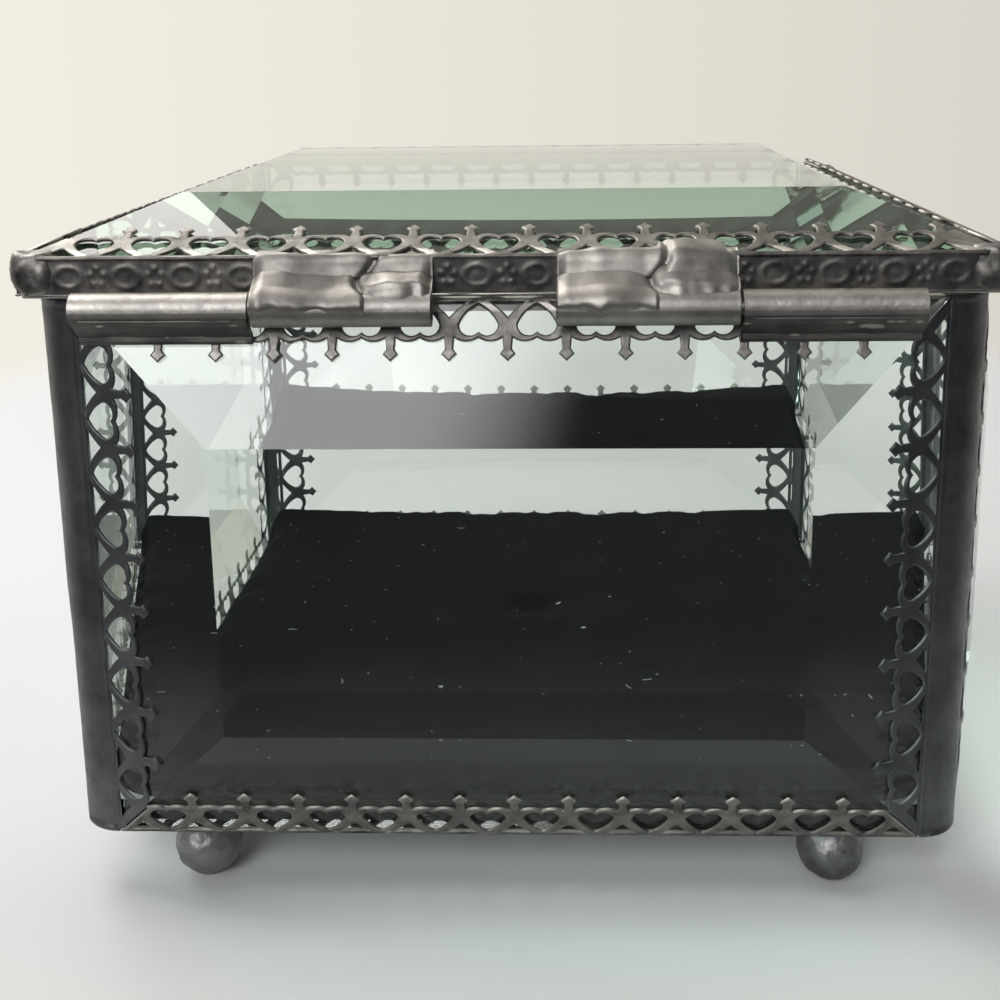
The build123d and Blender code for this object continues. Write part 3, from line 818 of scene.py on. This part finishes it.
def floor_material():
    material, nodes, links, output = new_material("floor")
    shader = add_node(nodes, "ShaderNodeBsdfPrincipled", Roughness=0.75)
    shader.inputs["Specular IOR Level"].default_value = 0.2
    place = nodes.new("ShaderNodeNewGeometry")
    mottle = add_node(nodes, "ShaderNodeTexNoise", Scale=9.0, Detail=2.0)
    tone = ramp(nodes, [(0.3, (0.66, 0.67, 0.69)), (0.7, (0.70, 0.71, 0.73))])
    length = add_node(nodes, "ShaderNodeVectorMath", operation="DISTANCE")
    length.inputs[1].default_value = FLOOR_CENTRE
    span = add_node(nodes, "ShaderNodeMapRange", From_Min=FLOOR_FADE[0], From_Max=FLOOR_FADE[1],
                    interpolation_type="SMOOTHSTEP")
    clear = nodes.new("ShaderNodeBsdfTransparent")
    mix = nodes.new("ShaderNodeMixShader")
    links.new(place.outputs["Position"], mottle.inputs["Vector"])
    links.new(mottle.outputs["Fac"], tone.inputs["Fac"])
    links.new(tone.outputs["Color"], shader.inputs["Base Color"])
    links.new(place.outputs["Position"], length.inputs[0])
    links.new(length.outputs["Value"], span.inputs["Value"])
    links.new(span.outputs["Result"], mix.inputs["Fac"])
    links.new(shader.outputs["BSDF"], mix.inputs[1])
    links.new(clear.outputs["BSDF"], mix.inputs[2])
    links.new(mix.outputs["Shader"], output.inputs["Surface"])
    return material


disc = [Vector((0, 0, 0))] + [Vector((400 * cos(t), 400 * sin(t), 0))
                             for t in [2 * pi * k / 96 for k in range(96)]]
floor = mesh_object("floor", disc, [(0, k, k % 96 + 1) for k in range(1, 97)])
floor.data.materials.append(floor_material())

# The room: a warm white wall beyond the casket, brighter to the left, a dimmer room behind the
# camera, and in that room a soft bright window up to the left.
ROOM_DIM = (0.066, 0.071, 0.076)
WALL_LEFT, WALL_RIGHT = (0.88, 0.85, 0.765), (0.70, 0.665, 0.60)
WINDOW_WAY = Vector((-0.30, -0.80, 0.52)).normalized()
WINDOW_GLOW = 6.5
world = bpy.data.worlds.new("studio")
scene.world = world
world.use_nodes = True
nodes, links = world.node_tree.nodes, world.node_tree.links
nodes.clear()
sky = nodes.new("ShaderNodeBackground")
world_output = nodes.new("ShaderNodeOutputWorld")
way = nodes.new("ShaderNodeTexCoord")
axes = nodes.new("ShaderNodeSeparateXYZ")
beyond = add_node(nodes, "ShaderNodeMapRange", From_Min=-0.35, From_Max=0.55,
                  interpolation_type="SMOOTHSTEP")
sideways = add_node(nodes, "ShaderNodeMapRange", From_Min=-0.35, From_Max=0.30)
wall = ramp(nodes, [(0.0, WALL_LEFT), (1.0, WALL_RIGHT)])
room = add_node(nodes, "ShaderNodeMix", data_type="RGBA")
near_window = add_node(nodes, "ShaderNodeVectorMath", operation="DOT_PRODUCT")
near_window.inputs[1].default_value = WINDOW_WAY
glow = add_node(nodes, "ShaderNodeMapRange", From_Min=cos(radians(19)), From_Max=cos(radians(11)),
                To_Max=WINDOW_GLOW, interpolation_type="SMOOTHSTEP")
total = add_node(nodes, "ShaderNodeMix", data_type="RGBA", blend_type="ADD")
total.inputs[0].default_value = 1.0
links.new(way.outputs["Generated"], axes.inputs["Vector"])
links.new(axes.outputs["Y"], beyond.inputs["Value"])
links.new(axes.outputs["X"], sideways.inputs["Value"])
links.new(sideways.outputs["Result"], wall.inputs["Fac"])
links.new(beyond.outputs["Result"], room.inputs[0])
room.inputs[6].default_value = (*ROOM_DIM, 1)
links.new(wall.outputs["Color"], room.inputs[7])
links.new(way.outputs["Generated"], near_window.inputs[0])
links.new(near_window.outputs["Value"], glow.inputs["Value"])
links.new(room.outputs[2], total.inputs[6])
links.new(glow.outputs["Result"], total.inputs[7])
links.new(total.outputs[2], sky.inputs["Color"])
links.new(sky.outputs["Background"], world_output.inputs["Surface"])


def soft_light(name, place, target, size, power, color=(1, 1, 1)):
    """Square soft light, in metres and watts, turned to shine at the target."""
    light = bpy.data.lights.new(name, "AREA")
    light.size = size
    light.energy = power
    light.color = color
    lamp = bpy.data.objects.new(name, light)
    lamp.location = place
    lamp.rotation_euler = (Vector(target) - Vector(place)).to_track_quat("-Z", "Y").to_euler()
    scene.collection.objects.link(lamp)
    return lamp


overhead = soft_light("overhead", (-0.30, 0.19, 0.54), (0, 0, 0.02), 0.42, 3.0, (1.0, 0.98, 0.95))
# Its light still falls on everything, but a ray that leaves the glass does not see the lamp itself.
overhead.visible_transmission = False

# Thick glass bends and mirrors a ray many times before it leaves.
scene.cycles.max_bounces = 20
scene.cycles.glossy_bounces = 20
scene.cycles.transmission_bounces = 20
scene.cycles.transparent_max_bounces = 16

# Camera at the photograph's viewpoint. Angles turn it right, down and clockwise; the two offsets
# are where its axis meets the picture, from the picture's middle, in pixels of the 1000 x 1000 frame.
CAMERA_PLACE = Vector((5.41, -166.65, 82.40))
CAMERA_YAW, CAMERA_PITCH, CAMERA_ROLL = -0.0370, -0.2345, -0.0126
FOCAL_PIXELS = 1382.1
AXIS_OFFSET = (18.3, -118.8)
camera_data = bpy.data.cameras.new("camera")
camera = bpy.data.objects.new("camera", camera_data)
scene.collection.objects.link(camera)
camera_data.sensor_width = 36
camera_data.lens = FOCAL_PIXELS * 36 / 1000
camera_data.shift_x = -AXIS_OFFSET[0] / 1000
camera_data.shift_y = AXIS_OFFSET[1] / 1000
camera_data.clip_start = 0.01
forward = Vector((sin(CAMERA_YAW) * cos(CAMERA_PITCH), cos(CAMERA_YAW) * cos(CAMERA_PITCH),
                  sin(CAMERA_PITCH)))
level = Vector((cos(CAMERA_YAW), -sin(CAMERA_YAW), 0))
rise = level.cross(forward)
right = level * cos(CAMERA_ROLL) + rise * sin(CAMERA_ROLL)
top = rise * cos(CAMERA_ROLL) - level * sin(CAMERA_ROLL)
camera.matrix_world = (Matrix.Translation(CAMERA_PLACE * MM)
                       @ Matrix((right, top, -forward)).transposed().to_4x4())
scene.camera = camera
scene.view_settings.view_transform = "Standard"
